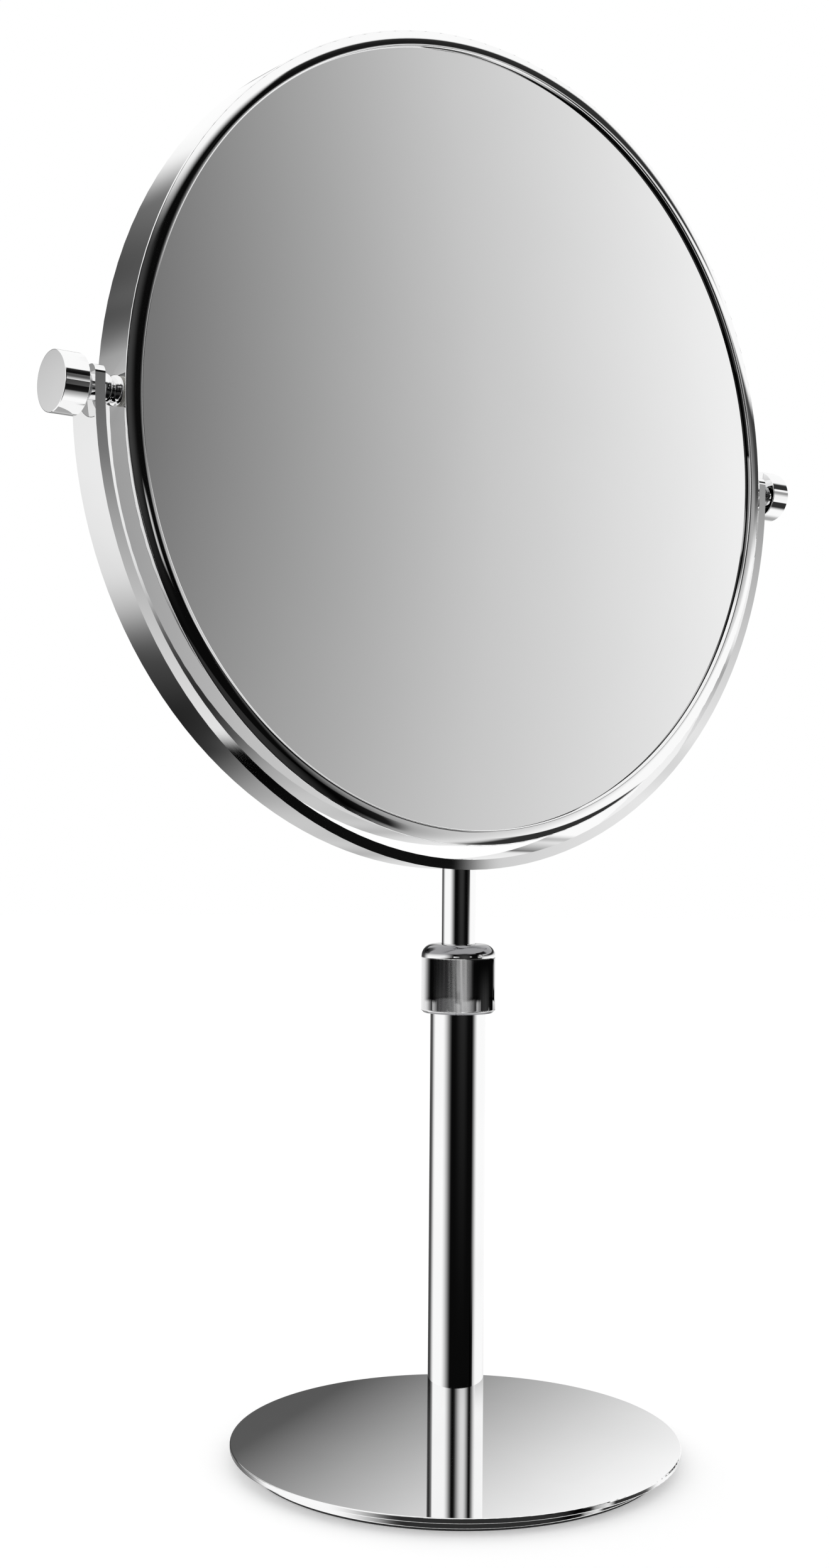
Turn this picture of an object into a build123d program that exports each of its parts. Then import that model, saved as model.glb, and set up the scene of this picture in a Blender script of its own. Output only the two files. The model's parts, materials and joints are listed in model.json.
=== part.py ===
from build123d import *
import os
from math import sqrt

os.makedirs("parts", exist_ok=True)

# A free-standing magnifying mirror: a round glass in a chromed rim, pivoted in a half-ring yoke.
# The yoke stands on a rod that slides and turns in a tube and is held by a knurled clamp collar.
# Frame in millimetres: origin at the middle of the underside, +Z up, glass facing -Y, pivots along X.

# Clearances
running_gap = 0.05  # radial play of a shaft that turns or slides in its hole
press_gap = 0.02  # radial play drawn between pieces that are pressed or screwed together
face_gap = 0.1  # axial play between faces that turn against each other
clear_gap = 0.15  # radial room round a piece that passes through without bearing

# Base
plate_diameter = 116.0
plate_thickness = 1.3
plate_edge = 0.25  # rounding of the plate's two rims
weight_inset = 4.0  # how far the weight stays inside the plate's edge
weight_thickness = 2.6
pad_inset = 0.5  # how far the pad stays inside the weight's edge
pad_thickness = 0.6
base_screw_diameter = 5.0
base_screw_land = 0.5  # weight left above the screw's countersink
base_screw_reach = 10.0  # depth of the screw in the foot plug
base_screw_socket = 3.0  # hexagon recess across flats
driver_recess = 1.2  # depth of the hexagon recesses in the two countersunk screws
tap_room = 1.2  # hole left beyond the end of a screw

# Tube and its two inserts
tube_diameter = 14.4
tube_wall = 1.2
tube_length = 113.5
foot_length = 14.0
sleeve_length = 14.0  # part of the threaded head that is pressed into the tube
flange_thickness = 1.2
flange_step = 0.3  # how far the flange stays inside the tube's outside
nose_step = 1.0  # how far the threaded nose stays inside the tube's outside
nose_wall = 0.6  # wall of the nose at the mouth of its conical seat
nose_length = 6.8

# Collet: a slit ring with two cones
collet_wall = 1.15
collet_end_wall = 0.35
collet_band = 1.0
collet_slit = 1.0
cone_slope = 2.5  # rise for each unit of run, both cones

# Clamp collar
collar_wall = 2.3  # round the tube's upper end
collar_crown = 2.08  # above the inner cone
collar_skirt = 3.6  # overlap over the tube's upper end
collar_shoulder = 3.2
collar_chamfer = 0.6

# Sliding rod and its guide
rod_showing = 19.3  # bare rod between collar and yoke at rest
lower_stop = 0.8  # room left between collar and yoke at the lowest setting
rod_end_room = 1.0  # room left under the rod at the lowest setting
spigot_step = 1.4  # how far the spigot stays inside the rod's outside
guide_length = 8.0
ring_thickness = 0.8
ring_groove_depth = 0.45
ring_width = 1.7
ring_mouth = 3.2  # opening of the split retaining ring
rod_tip = 1.2  # spigot left below the retaining ring

# Yoke
yoke_thickness = 2.6
yoke_width = 11.0
yoke_tip_wall = 1.3  # left above the pivot hole
yoke_corner = 2.2
yoke_screw_diameter = 4.0
yoke_screw_land = 1.0  # yoke left below the screw's countersink
yoke_screw_reach = 9.0  # depth of the screw in the rod
yoke_screw_socket = 2.5  # hexagon recess across flats

# Mirror head
glass_opening = 200.0  # clear diameter inside the front bezel
glass_thickness = 2.2
glass_room = 0.1  # radial room between the glass and the bezel's skirt
glass_curve = 750.0  # radius of the hollow face, about threefold magnification
bezel_width = 3.0  # from the clear opening to the outside of the skirt
bezel_crown = 0.75  # how far the bead stands before the rim
bezel_edge = 0.12  # straight edge of the bead where it lies on the rim
bezel_seat = 0.4  # depth of the glass seat behind the rim's front edge
bezel_skirt = 3.5
bezel_skirt_wall = 0.55
rim_wall = 1.15
rim_depth = 13.6
rim_forward = 8.5  # rim's front edge before the pivot axis
rim_edge = 0.3  # rounding of the front edge, left bare by the bead
rim_back_edge = 0.4
rim_lip = 3.0
rim_lip_thickness = 0.9
cover_thickness = 0.6
cover_rise = 3.5
foam_width = 14.0
foam_inset = 6.5  # from the rim's inside to the foam ring

# Pivots
yoke_gap = 3.5  # room between the rim and the yoke
journal_diameter = 5.0
thread_step = 0.5  # how far the stud's threads stay inside its journal
bead_foot = 0.3  # step from the journal to the bead
bead_rise = 0.95
bush_wall = 0.7
bush_flange_step = 0.5
bush_flange = 0.4
washer_wall = 0.8
washer_thickness = 0.5
neck_wall = 0.5
neck_length = 1.25
knob_diameter = 14.2
knob_length = 6.2
knob_edge = 0.2
knob_end_wall = 1.2
nut_wall = 1.0  # beside the thread
nut_height = 11.0
nut_thickness = 3.0

# Heights and radii that follow
base_height = pad_thickness + weight_thickness + plate_thickness
weight_diameter = plate_diameter - 2 * weight_inset
pad_diameter = weight_diameter - 2 * pad_inset
base_screw_rise = weight_thickness - base_screw_land
base_screw_head = base_screw_diameter + 2 * base_screw_rise

tube_top = base_height + tube_length
tube_bore = tube_diameter - 2 * tube_wall
nose_bottom = tube_top + flange_thickness
nose_top = nose_bottom + nose_length
nose_diameter = tube_diameter - 2 * nose_step
collet_diameter = nose_diameter - 2 * nose_wall
band_top = nose_top + press_gap + collet_band
rod_bore = collet_diameter - 2 * collet_wall
rod_diameter = rod_bore - 2 * running_gap
spigot_diameter = rod_diameter - 2 * spigot_step

collar_diameter = tube_diameter + 2 * (clear_gap + collar_wall)
collar_bottom = tube_top - collar_skirt
collar_bore = rod_diameter / 2 + clear_gap
cone_start = band_top + clear_gap * cone_slope
cone_end = cone_start + (collet_diameter / 2 - collar_bore) * cone_slope
collar_top = cone_end + collar_crown

rim_inner = glass_opening / 2 + bezel_width + press_gap
rim_outer = rim_inner + rim_wall
yoke_inner = rim_outer + yoke_gap
yoke_outer = yoke_inner + yoke_thickness
yoke_bottom = collar_top + rod_showing
yoke_screw_drop = yoke_thickness - yoke_screw_land
yoke_screw_head = yoke_screw_diameter + 2 * yoke_screw_drop
pivot_height = yoke_bottom + yoke_outer

rim_front = -rim_forward
rim_rear = rim_front + rim_depth
glass_radius = glass_opening / 2 + bezel_width - bezel_skirt_wall - glass_room

stud_thread = journal_diameter - 2 * thread_step
bead_root = journal_diameter + 2 * bead_foot
bead_diameter = bead_root + 2 * bead_rise
bush_diameter = journal_diameter + 2 * bush_wall
bush_flange_diameter = bush_diameter + 2 * bush_flange_step
washer_diameter = journal_diameter + 2 * washer_wall
neck_diameter = journal_diameter + 2 * (running_gap + neck_wall)
nut_width = stud_thread + 2 * nut_wall
yoke_tip = pivot_height + bush_diameter / 2 + yoke_tip_wall

# Travel of the rod between the yoke on the collar and the guide under the threaded head
travel_down = rod_showing - lower_stop
rod_end = base_height + foot_length + travel_down + rod_end_room
ring_bottom = rod_end + rod_tip
guide_bottom = ring_bottom + ring_thickness + face_gap
guide_top = guide_bottom + guide_length
rod_shoulder = guide_top + face_gap
travel_up = tube_top - sleeve_length - guide_top - face_gap
print(f"rod travel {-travel_down:.2f} to {travel_up:.2f} mm, pivot height {pivot_height:.2f} mm")

# Working planes and axes
post_plane = Plane.XZ
head_plane = Plane.XY.offset(pivot_height)
head_axis = Axis((0, 0, pivot_height), (0, 1, 0))
pivot_axis = Axis((0, 0, pivot_height), (1, 0, 0))
pivot_plane = Plane(origin=(0, 0, pivot_height), x_dir=(0, 1, 0), z_dir=(1, 0, 0))


def sphere_drop(curve, radius):
    """Depth of a spherical face of the given curve at a distance from its axis."""
    return curve - sqrt(curve**2 - radius**2)


def dished_arc(face, inner_radius, outer_radius, shift):
    """Arc of a dished face between two distances from the head's axis, shifted along that axis."""
    middle_radius = (inner_radius + outer_radius) / 2
    return ThreePointArc(
        (inner_radius, face(inner_radius) + shift),
        (middle_radius, face(middle_radius) + shift),
        (outer_radius, face(outer_radius) + shift),
    )


def finish(piece, name):
    """Label a finished piece and write it to its own file."""
    piece.part.label = name
    export_step(piece.part, f"parts/{name}.step")


# Base: non-slip pad, steel weight and polished plate, held to the tube by one screw from below
with BuildPart() as base_pad:
    with BuildSketch():
        Circle(pad_diameter / 2)
    extrude(amount=pad_thickness)
finish(base_pad, "base_pad")

with BuildPart() as base_weight:
    with BuildSketch(Plane.XY.offset(pad_thickness)):
        Circle(weight_diameter / 2)
    extrude(amount=weight_thickness)
    fillet(base_weight.edges().group_by(Axis.Z)[0], plate_edge)
    with Locations(Plane(origin=(0, 0, pad_thickness), z_dir=(0, 0, -1))):
        CounterSinkHole(base_screw_diameter / 2 + clear_gap, base_screw_head / 2 + press_gap)
finish(base_weight, "base_weight")

with BuildPart() as base_plate:
    with BuildSketch(Plane.XY.offset(pad_thickness + weight_thickness)):
        Circle(plate_diameter / 2)
    extrude(amount=plate_thickness)
    fillet(base_plate.edges(), plate_edge)
    with Locations((0, 0, base_height)):
        Hole(base_screw_diameter / 2 + clear_gap)
finish(base_plate, "base_plate")

with BuildPart() as base_screw:
    with BuildSketch(post_plane):
        with BuildLine():
            Polyline(
                (0, pad_thickness),
                (base_screw_head / 2, pad_thickness),
                (base_screw_diameter / 2, pad_thickness + base_screw_rise),
                (base_screw_diameter / 2, base_height + base_screw_reach),
                (0, base_height + base_screw_reach),
                close=True,
            )
        make_face()
    revolve(axis=Axis.Z)
    with BuildSketch(Plane.XY.offset(pad_thickness)):
        RegularPolygon(base_screw_socket / 2, 6, major_radius=False)
    extrude(amount=driver_recess, mode=Mode.SUBTRACT)
finish(base_screw, "base_screw")

# Tube with a tapped foot plug below and the threaded clamp head above
with BuildPart() as outer_tube:
    with BuildSketch(Plane.XY.offset(base_height)):
        Circle(tube_diameter / 2)
        Circle(tube_bore / 2, mode=Mode.SUBTRACT)
    extrude(amount=tube_length)
finish(outer_tube, "outer_tube")

with BuildPart() as tube_foot:
    with BuildSketch(Plane.XY.offset(base_height)):
        Circle(tube_bore / 2 - press_gap)
    extrude(amount=foot_length)
    with Locations(Plane(origin=(0, 0, base_height), z_dir=(0, 0, -1))):
        Hole(base_screw_diameter / 2 + press_gap, depth=base_screw_reach + tap_room)
finish(tube_foot, "tube_foot")

seat_run = (collet_diameter - rod_bore) / 2
seat_height = seat_run * cone_slope
with BuildPart() as tube_head:
    with BuildSketch(post_plane):
        with BuildLine():
            Polyline(
                (rod_bore / 2, tube_top - sleeve_length),
                (tube_bore / 2 - press_gap, tube_top - sleeve_length),
                (tube_bore / 2 - press_gap, tube_top),
                (tube_diameter / 2 - flange_step, tube_top),
                (tube_diameter / 2 - flange_step, nose_bottom),
                (nose_diameter / 2, nose_bottom),
                (nose_diameter / 2, nose_top),
                (collet_diameter / 2, nose_top),
                (rod_bore / 2, nose_top - seat_height),
                close=True,
            )
        make_face()
    revolve(axis=Axis.Z)
finish(tube_head, "tube_head")

# The collet's lower cone sits in the head, its upper cone is pressed by the collar
collet_taper = (seat_run - collet_end_wall) * cone_slope
with BuildPart() as collet:
    with BuildSketch(post_plane):
        with BuildLine():
            Polyline(
                (rod_bore / 2, nose_top + press_gap - collet_taper),
                (rod_bore / 2 + collet_end_wall, nose_top + press_gap - collet_taper),
                (collet_diameter / 2, nose_top + press_gap),
                (collet_diameter / 2, band_top),
                (rod_bore / 2 + collet_end_wall, band_top + collet_taper),
                (rod_bore / 2, band_top + collet_taper),
                close=True,
            )
        make_face()
    revolve(axis=Axis.Z)
    with BuildSketch(Plane.XY.offset(nose_top - collet_taper)):
        with Locations((collet_diameter / 2, 0)):
            Rectangle(collet_diameter, collet_slit)
    extrude(amount=2 * collet_taper + collet_band, both=True, mode=Mode.SUBTRACT)
finish(collet, "collet")

chamber = collet_diameter / 2 + 2 * clear_gap
with BuildPart() as clamp_collar:
    with BuildSketch(post_plane):
        with BuildLine():
            Polyline(
                (tube_diameter / 2 + clear_gap, collar_bottom),
                (collar_diameter / 2, collar_bottom),
                (collar_diameter / 2, collar_top),
                (collar_bore, collar_top),
                (collar_bore, cone_end),
                (chamber, cone_start - (chamber - collet_diameter / 2) * cone_slope),
                (chamber, nose_top + face_gap),
                (nose_diameter / 2 + running_gap, nose_top + face_gap),
                (nose_diameter / 2 + running_gap, nose_bottom + face_gap),
                (tube_diameter / 2 + clear_gap, nose_bottom + face_gap),
                close=True,
            )
        make_face()
    revolve(axis=Axis.Z)
    collar_rims = clamp_collar.edges().filter_by(GeomType.CIRCLE).group_by(SortBy.RADIUS)[-1]
    fillet(collar_rims.sort_by(Axis.Z)[-1], collar_shoulder)
    chamfer(collar_rims.sort_by(Axis.Z)[0], collar_chamfer)
finish(clamp_collar, "clamp_collar")

# Rod: its upper end is hollowed to the yoke, its lower spigot carries the sliding guide
ring_groove = spigot_diameter / 2 - ring_groove_depth
with BuildPart() as slide_rod:
    with BuildSketch(post_plane):
        with BuildLine():
            Polyline(
                (0, rod_end),
                (spigot_diameter / 2, rod_end),
                (spigot_diameter / 2, ring_bottom - press_gap),
                (ring_groove, ring_bottom - press_gap),
                (ring_groove, ring_bottom + ring_thickness + press_gap),
                (spigot_diameter / 2, ring_bottom + ring_thickness + press_gap),
                (spigot_diameter / 2, rod_shoulder),
                (rod_diameter / 2, rod_shoulder),
                (rod_diameter / 2, yoke_bottom + yoke_thickness),
                (0, yoke_bottom + yoke_thickness),
                close=True,
            )
        make_face()
    revolve(axis=Axis.Z)
    with BuildSketch(Plane.XZ.offset(-rod_diameter)):
        with Locations((0, pivot_height)):
            Circle(yoke_outer + press_gap)
    extrude(amount=2 * rod_diameter, mode=Mode.SUBTRACT)
    with Locations((0, 0, yoke_bottom + yoke_thickness)):
        Hole(yoke_screw_diameter / 2 + press_gap, depth=yoke_thickness + yoke_screw_reach + tap_room)
finish(slide_rod, "slide_rod")

with BuildPart() as rod_guide:
    with BuildSketch(Plane.XY.offset(guide_bottom)):
        Circle(tube_bore / 2 - running_gap)
        Circle(spigot_diameter / 2 + running_gap, mode=Mode.SUBTRACT)
    extrude(amount=guide_length)
finish(rod_guide, "rod_guide")

with BuildPart() as rod_ring:
    with BuildSketch(Plane.XY.offset(ring_bottom)):
        Circle(ring_groove + press_gap + ring_width)
        Circle(ring_groove + press_gap, mode=Mode.SUBTRACT)
        with Locations((spigot_diameter, 0)):
            Rectangle(2 * spigot_diameter, ring_mouth, mode=Mode.SUBTRACT)
    extrude(amount=ring_thickness)
finish(rod_ring, "rod_ring")

# Yoke: a flat strip bent to a half ring, drilled for the pivots and countersunk for the rod's screw
with BuildPart() as yoke:
    with BuildSketch(Plane.XZ):
        with BuildLine():
            outer_bend = CenterArc((0, pivot_height), yoke_outer, 180, 180)
            inner_bend = CenterArc((0, pivot_height), yoke_inner, 180, 180)
            Polyline(
                outer_bend @ 0,
                (-yoke_outer, yoke_tip),
                (-yoke_inner, yoke_tip),
                inner_bend @ 0,
            )
            Polyline(
                outer_bend @ 1,
                (yoke_outer, yoke_tip),
                (yoke_inner, yoke_tip),
                inner_bend @ 1,
            )
        make_face()
    extrude(amount=yoke_width / 2, both=True)
    tips = yoke.faces().sort_by(Axis.Z)[-2:]
    fillet(tips.edges().filter_by(Axis.X), yoke_corner)
    with BuildSketch(pivot_plane):
        Circle(bush_diameter / 2 + press_gap)
    extrude(amount=yoke_outer + yoke_thickness, both=True, mode=Mode.SUBTRACT)
    with Locations((0, 0, yoke_bottom + yoke_thickness)):
        CounterSinkHole(
            yoke_screw_diameter / 2 + press_gap,
            yoke_screw_head / 2 + press_gap,
            depth=2 * yoke_thickness,
        )
finish(yoke, "yoke")

with BuildPart() as yoke_screw:
    screw_top = yoke_bottom + yoke_thickness - press_gap
    with BuildSketch(post_plane):
        with BuildLine():
            Polyline(
                (0, screw_top),
                (yoke_screw_head / 2, screw_top),
                (yoke_screw_diameter / 2, screw_top - yoke_screw_drop),
                (yoke_screw_diameter / 2, yoke_bottom - yoke_screw_reach),
                (0, yoke_bottom - yoke_screw_reach),
                close=True,
            )
        make_face()
    revolve(axis=Axis.Z)
    with BuildSketch(Plane.XY.offset(screw_top)):
        RegularPolygon(yoke_screw_socket / 2, 6, major_radius=False)
    extrude(amount=-driver_recess, mode=Mode.SUBTRACT)
finish(yoke_screw, "yoke_screw")

# Mirror head: rim with an inward lip at the back, all turned about the head's own axis
with BuildPart() as mirror_rim:
    with BuildSketch(head_plane):
        with BuildLine():
            Polyline(
                (rim_inner, rim_front),
                (rim_outer, rim_front),
                (rim_outer, rim_rear),
                (rim_inner - rim_lip, rim_rear),
                (rim_inner - rim_lip, rim_rear - rim_lip_thickness),
                (rim_inner, rim_rear - rim_lip_thickness),
                close=True,
            )
        make_face()
    revolve(axis=head_axis)
    rim_edges = mirror_rim.edges().filter_by(GeomType.CIRCLE).group_by(SortBy.RADIUS)[-1]
    fillet(rim_edges.sort_by(Axis.Y)[0], rim_edge)
    fillet(rim_edges.sort_by(Axis.Y)[-1], rim_back_edge)
    with BuildSketch(pivot_plane):
        Circle(stud_thread / 2 + press_gap)
    extrude(amount=yoke_outer, both=True, mode=Mode.SUBTRACT)
finish(mirror_rim, "mirror_rim")

# Bezel: a shallow bead that covers the rim's front, with a skirt pressed into the rim
seat_plane = rim_front + bezel_seat
bezel_outer = glass_opening / 2 + bezel_width
bezel_face = rim_front - press_gap
bead_outer = rim_outer - rim_edge
bead_middle = (glass_opening / 2 + bead_outer) / 2
with BuildPart() as front_bezel:
    with BuildSketch(head_plane):
        with BuildLine():
            ThreePointArc(
                (glass_opening / 2, seat_plane),
                (bead_middle, rim_front - bezel_crown),
                (bead_outer, bezel_face - bezel_edge),
            )
            Polyline(
                (bead_outer, bezel_face - bezel_edge),
                (bead_outer, bezel_face),
                (bezel_outer, bezel_face),
                (bezel_outer, seat_plane + bezel_skirt),
                (bezel_outer - bezel_skirt_wall, seat_plane + bezel_skirt),
                (bezel_outer - bezel_skirt_wall, seat_plane),
                (glass_opening / 2, seat_plane),
            )
        make_face()
    revolve(axis=head_axis)
finish(front_bezel, "front_bezel")

# Glass: hollow front face, bent to an even thickness
glass_edge = seat_plane + press_gap
glass_middle = glass_edge + sphere_drop(glass_curve, glass_radius)


def glass_face(radius):
    """Place of the glass's hollow face at a distance from the head's axis."""
    return glass_middle - sphere_drop(glass_curve, radius)


with BuildPart() as mirror_glass:
    with BuildSketch(head_plane):
        with BuildLine():
            front_face = dished_arc(glass_face, 0, glass_radius, 0)
            back_face = dished_arc(glass_face, 0, glass_radius, glass_thickness)
            Line(front_face @ 0, back_face @ 0)
            Line(front_face @ 1, back_face @ 1)
        make_face()
    revolve(axis=head_axis)
finish(mirror_glass, "mirror_glass")

# Rear cover: a shallow pressed dome whose flat border lies inside the rim's lip
cover_seat = rim_rear - rim_lip_thickness - press_gap
dome_radius = rim_inner - rim_lip - clear_gap
dome_curve = (dome_radius**2 + cover_rise**2) / (2 * cover_rise)


def cover_face(radius):
    """Place of the cover's domed outside at a distance from the head's axis."""
    return cover_seat + cover_rise - sphere_drop(dome_curve, radius)


with BuildPart() as rear_cover:
    with BuildSketch(head_plane):
        with BuildLine():
            outside = dished_arc(cover_face, 0, dome_radius, 0)
            inside = dished_arc(cover_face, 0, dome_radius, -cover_thickness)
            Line(outside @ 0, inside @ 0)
            Polyline(
                outside @ 1,
                (rim_inner - press_gap, cover_seat),
                (rim_inner - press_gap, cover_seat - cover_thickness),
                inside @ 1,
            )
        make_face()
    revolve(axis=head_axis)
finish(rear_cover, "rear_cover")

# Foam ring that presses the glass against the bezel from behind
foam_outer = rim_inner - foam_inset
foam_inner = foam_outer - foam_width
with BuildPart() as backing_ring:
    with BuildSketch(head_plane):
        with BuildLine():
            foam_front = dished_arc(glass_face, foam_inner, foam_outer, glass_thickness + press_gap)
            foam_back = dished_arc(cover_face, foam_inner, foam_outer, -cover_thickness - press_gap)
            Line(foam_front @ 0, foam_back @ 0)
            Line(foam_front @ 1, foam_back @ 1)
        make_face()
    revolve(axis=head_axis)
finish(backing_ring, "backing_ring")

# Pivots: the same turned pieces on the left and on the right
bead_start = rim_outer + press_gap
flange_start = yoke_inner - face_gap - bush_flange
bead_end = flange_start - face_gap
washer_start = yoke_outer + face_gap / 2
neck_start = washer_start + washer_thickness + face_gap
knob_start = neck_start + neck_length
knob_end = knob_start + knob_length
stud_end = knob_end - knob_end_wall
nut_outer = rim_inner - press_gap
stud_start = nut_outer - nut_thickness

for side, side_name in ((-1, "left"), (1, "right")):
    # Stud with its bead, screwed to the rim and running in the yoke's bush
    with BuildPart() as pivot_stud:
        with BuildSketch(head_plane):
            with BuildLine():
                bead = ThreePointArc(
                    (side * bead_start, bead_root / 2),
                    (side * (bead_start + bead_end) / 2, bead_diameter / 2),
                    (side * bead_end, bead_root / 2),
                )
                Polyline(
                    bead @ 1,
                    (side * bead_end, journal_diameter / 2),
                    (side * knob_start, journal_diameter / 2),
                    (side * knob_start, stud_thread / 2),
                    (side * stud_end, stud_thread / 2),
                    (side * stud_end, 0),
                    (side * stud_start, 0),
                    (side * stud_start, stud_thread / 2),
                    (side * bead_start, stud_thread / 2),
                    bead @ 0,
                )
            make_face()
        revolve(axis=pivot_axis)
    finish(pivot_stud, f"pivot_stud_{side_name}")

    # Tapped saddle nut, its outer face curved to the inside of the rim
    with BuildPart() as saddle_nut:
        with BuildSketch(head_plane):
            with Locations((side * (nut_outer - nut_thickness / 2), 0)):
                Rectangle(nut_thickness, nut_width)
        extrude(amount=nut_height / 2, both=True)
        with BuildSketch(Plane.XZ.offset(-nut_width)):
            with Locations((0, pivot_height)):
                Circle(yoke_outer)
                Circle(nut_outer, mode=Mode.SUBTRACT)
        extrude(amount=2 * nut_width, mode=Mode.SUBTRACT)
        with BuildSketch(pivot_plane):
            Circle(stud_thread / 2 + press_gap)
        extrude(amount=yoke_outer, both=True, mode=Mode.SUBTRACT)
    finish(saddle_nut, f"saddle_nut_{side_name}")

    # Flanged bush in the yoke
    with BuildPart() as yoke_bush:
        with BuildSketch(head_plane):
            with BuildLine():
                Polyline(
                    (side * flange_start, journal_diameter / 2 + running_gap),
                    (side * flange_start, bush_flange_diameter / 2),
                    (side * (flange_start + bush_flange), bush_flange_diameter / 2),
                    (side * (flange_start + bush_flange), bush_diameter / 2),
                    (side * yoke_outer, bush_diameter / 2),
                    (side * yoke_outer, journal_diameter / 2 + running_gap),
                    close=True,
                )
            make_face()
        revolve(axis=pivot_axis)
    finish(yoke_bush, f"yoke_bush_{side_name}")

    # Washer between the yoke and the knob
    with BuildPart() as pivot_washer:
        with BuildSketch(pivot_plane.offset(side * washer_start)):
            Circle(washer_diameter / 2)
            Circle(journal_diameter / 2 + clear_gap, mode=Mode.SUBTRACT)
        extrude(amount=side * washer_thickness)
    finish(pivot_washer, f"pivot_washer_{side_name}")

    # Clamp knob with a narrow neck, screwed on the stud's outer end
    with BuildPart() as knob:
        with BuildSketch(head_plane):
            with BuildLine():
                Polyline(
                    (side * neck_start, journal_diameter / 2 + running_gap),
                    (side * neck_start, neck_diameter / 2),
                    (side * knob_start, neck_diameter / 2),
                    (side * knob_start, knob_diameter / 2),
                    (side * knob_end, knob_diameter / 2),
                    (side * knob_end, 0),
                    (side * (stud_end + face_gap), 0),
                    (side * (stud_end + face_gap), stud_thread / 2 + running_gap),
                    (side * (knob_start + face_gap), stud_thread / 2 + running_gap),
                    (side * (knob_start + face_gap), journal_diameter / 2 + running_gap),
                    close=True,
                )
            make_face()
        revolve(axis=pivot_axis)
        fillet(knob.edges().filter_by(GeomType.CIRCLE).group_by(SortBy.RADIUS)[-1], knob_edge)
    finish(knob, f"knob_{side_name}")
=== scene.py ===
# %% [markdown]
# # A free-standing magnifying mirror
# The object is a round hollow mirror glass in a chromed rim. The rim tilts between two knobs in a
# half-ring yoke. The yoke stands on a rod that slides and turns in a tube, held by a knurled collar.
# The solids of all the pieces come from the construction, and this lesson gives them their looks.
# Every object is in metres, with Z up and the glass facing -Y, so nothing has to be fitted by eye.

# %% Load the construction
import json
from math import asin, atan2, cos, degrees, pi, radians, sin, sqrt
import bmesh
import bpy
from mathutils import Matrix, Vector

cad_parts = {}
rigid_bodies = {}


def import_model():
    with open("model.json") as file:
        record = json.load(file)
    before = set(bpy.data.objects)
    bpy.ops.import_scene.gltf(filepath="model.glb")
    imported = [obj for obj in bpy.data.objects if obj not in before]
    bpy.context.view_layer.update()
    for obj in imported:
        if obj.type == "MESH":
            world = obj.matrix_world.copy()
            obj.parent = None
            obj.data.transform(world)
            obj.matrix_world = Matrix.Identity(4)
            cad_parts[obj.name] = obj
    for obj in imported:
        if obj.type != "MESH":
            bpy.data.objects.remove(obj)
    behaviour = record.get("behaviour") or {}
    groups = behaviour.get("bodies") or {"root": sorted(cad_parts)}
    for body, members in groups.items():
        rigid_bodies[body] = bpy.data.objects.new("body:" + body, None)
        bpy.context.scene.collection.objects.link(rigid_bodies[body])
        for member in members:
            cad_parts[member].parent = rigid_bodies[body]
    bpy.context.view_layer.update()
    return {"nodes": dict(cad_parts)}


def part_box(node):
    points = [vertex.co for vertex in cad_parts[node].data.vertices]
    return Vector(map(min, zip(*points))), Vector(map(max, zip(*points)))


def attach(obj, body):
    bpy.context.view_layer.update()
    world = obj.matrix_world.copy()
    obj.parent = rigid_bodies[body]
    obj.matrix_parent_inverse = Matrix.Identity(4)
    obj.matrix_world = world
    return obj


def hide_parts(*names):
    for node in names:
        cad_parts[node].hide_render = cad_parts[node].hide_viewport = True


for leftover in list(bpy.data.objects):
    bpy.data.objects.remove(leftover)
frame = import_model()
mm = 0.001

# %% [markdown]
# ## The camera
# The photograph was taken from the left, a little below the mirror's middle, about half a metre away.
# A short distance makes the near side of the base larger, so the distance matters as much as the angle.
# The place and the angles were found by fitting the round outlines, and the lens follows from that.

# %% Camera
camera_data = bpy.data.cameras.new("camera")
camera_data.sensor_width = 36.0
camera_data.lens = 43.916
camera = bpy.data.objects.new("camera", camera_data)
camera.location = (-312.805 * mm, -388.388 * mm, 162.089 * mm)
camera.rotation_euler = (radians(91.318), radians(-0.458), radians(-37.502))
bpy.context.scene.collection.objects.link(camera)
bpy.context.scene.camera = camera
bpy.context.scene.view_settings.view_transform = "Standard"
print("camera at", [round(x, 3) for x in camera.location])

# %% [markdown]
# ## The studio
# Chrome has hardly a colour of its own: what we see in it is the room. Product photographers put it in a
# white tent and hang black cards where they want dark bands. Each card could be a plane, but many planes
# are slow to place and to change. Here the tent and most of its cards are drawn on the world, by direction.
# Only reflections see the cards. The camera and the matt surfaces see an even white. A world or a finish is
# a tree of nodes, and a small helper adds a node and its links in one line.

# %% A helper for nodes


def adder(tree):
    """A short way to add nodes to one tree, with inputs fed by sockets or by plain values."""

    def add(kind, inputs=(), **settings):
        node = tree.nodes.new(kind)
        for key, value in settings.items():
            setattr(node, key, value)
        for key, value in dict(inputs).items():
            if isinstance(value, bpy.types.NodeSocket):
                tree.links.new(value, node.inputs[key])
            else:
                node.inputs[key].default_value = value
        return node

    return add


# %% Directions in the studio
world = bpy.data.worlds.new("white_tent")
bpy.context.scene.world = world
world.use_nodes = True
world.node_tree.nodes.clear()
tent_add = adder(world.node_tree)


def tent_math(operation, first, second=None):
    """A maths node in the world, fed by sockets or by plain numbers."""
    inputs = {0: first} if second is None else {0: first, 1: second}
    return tent_add("ShaderNodeMath", inputs, operation=operation).outputs[0]


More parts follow.
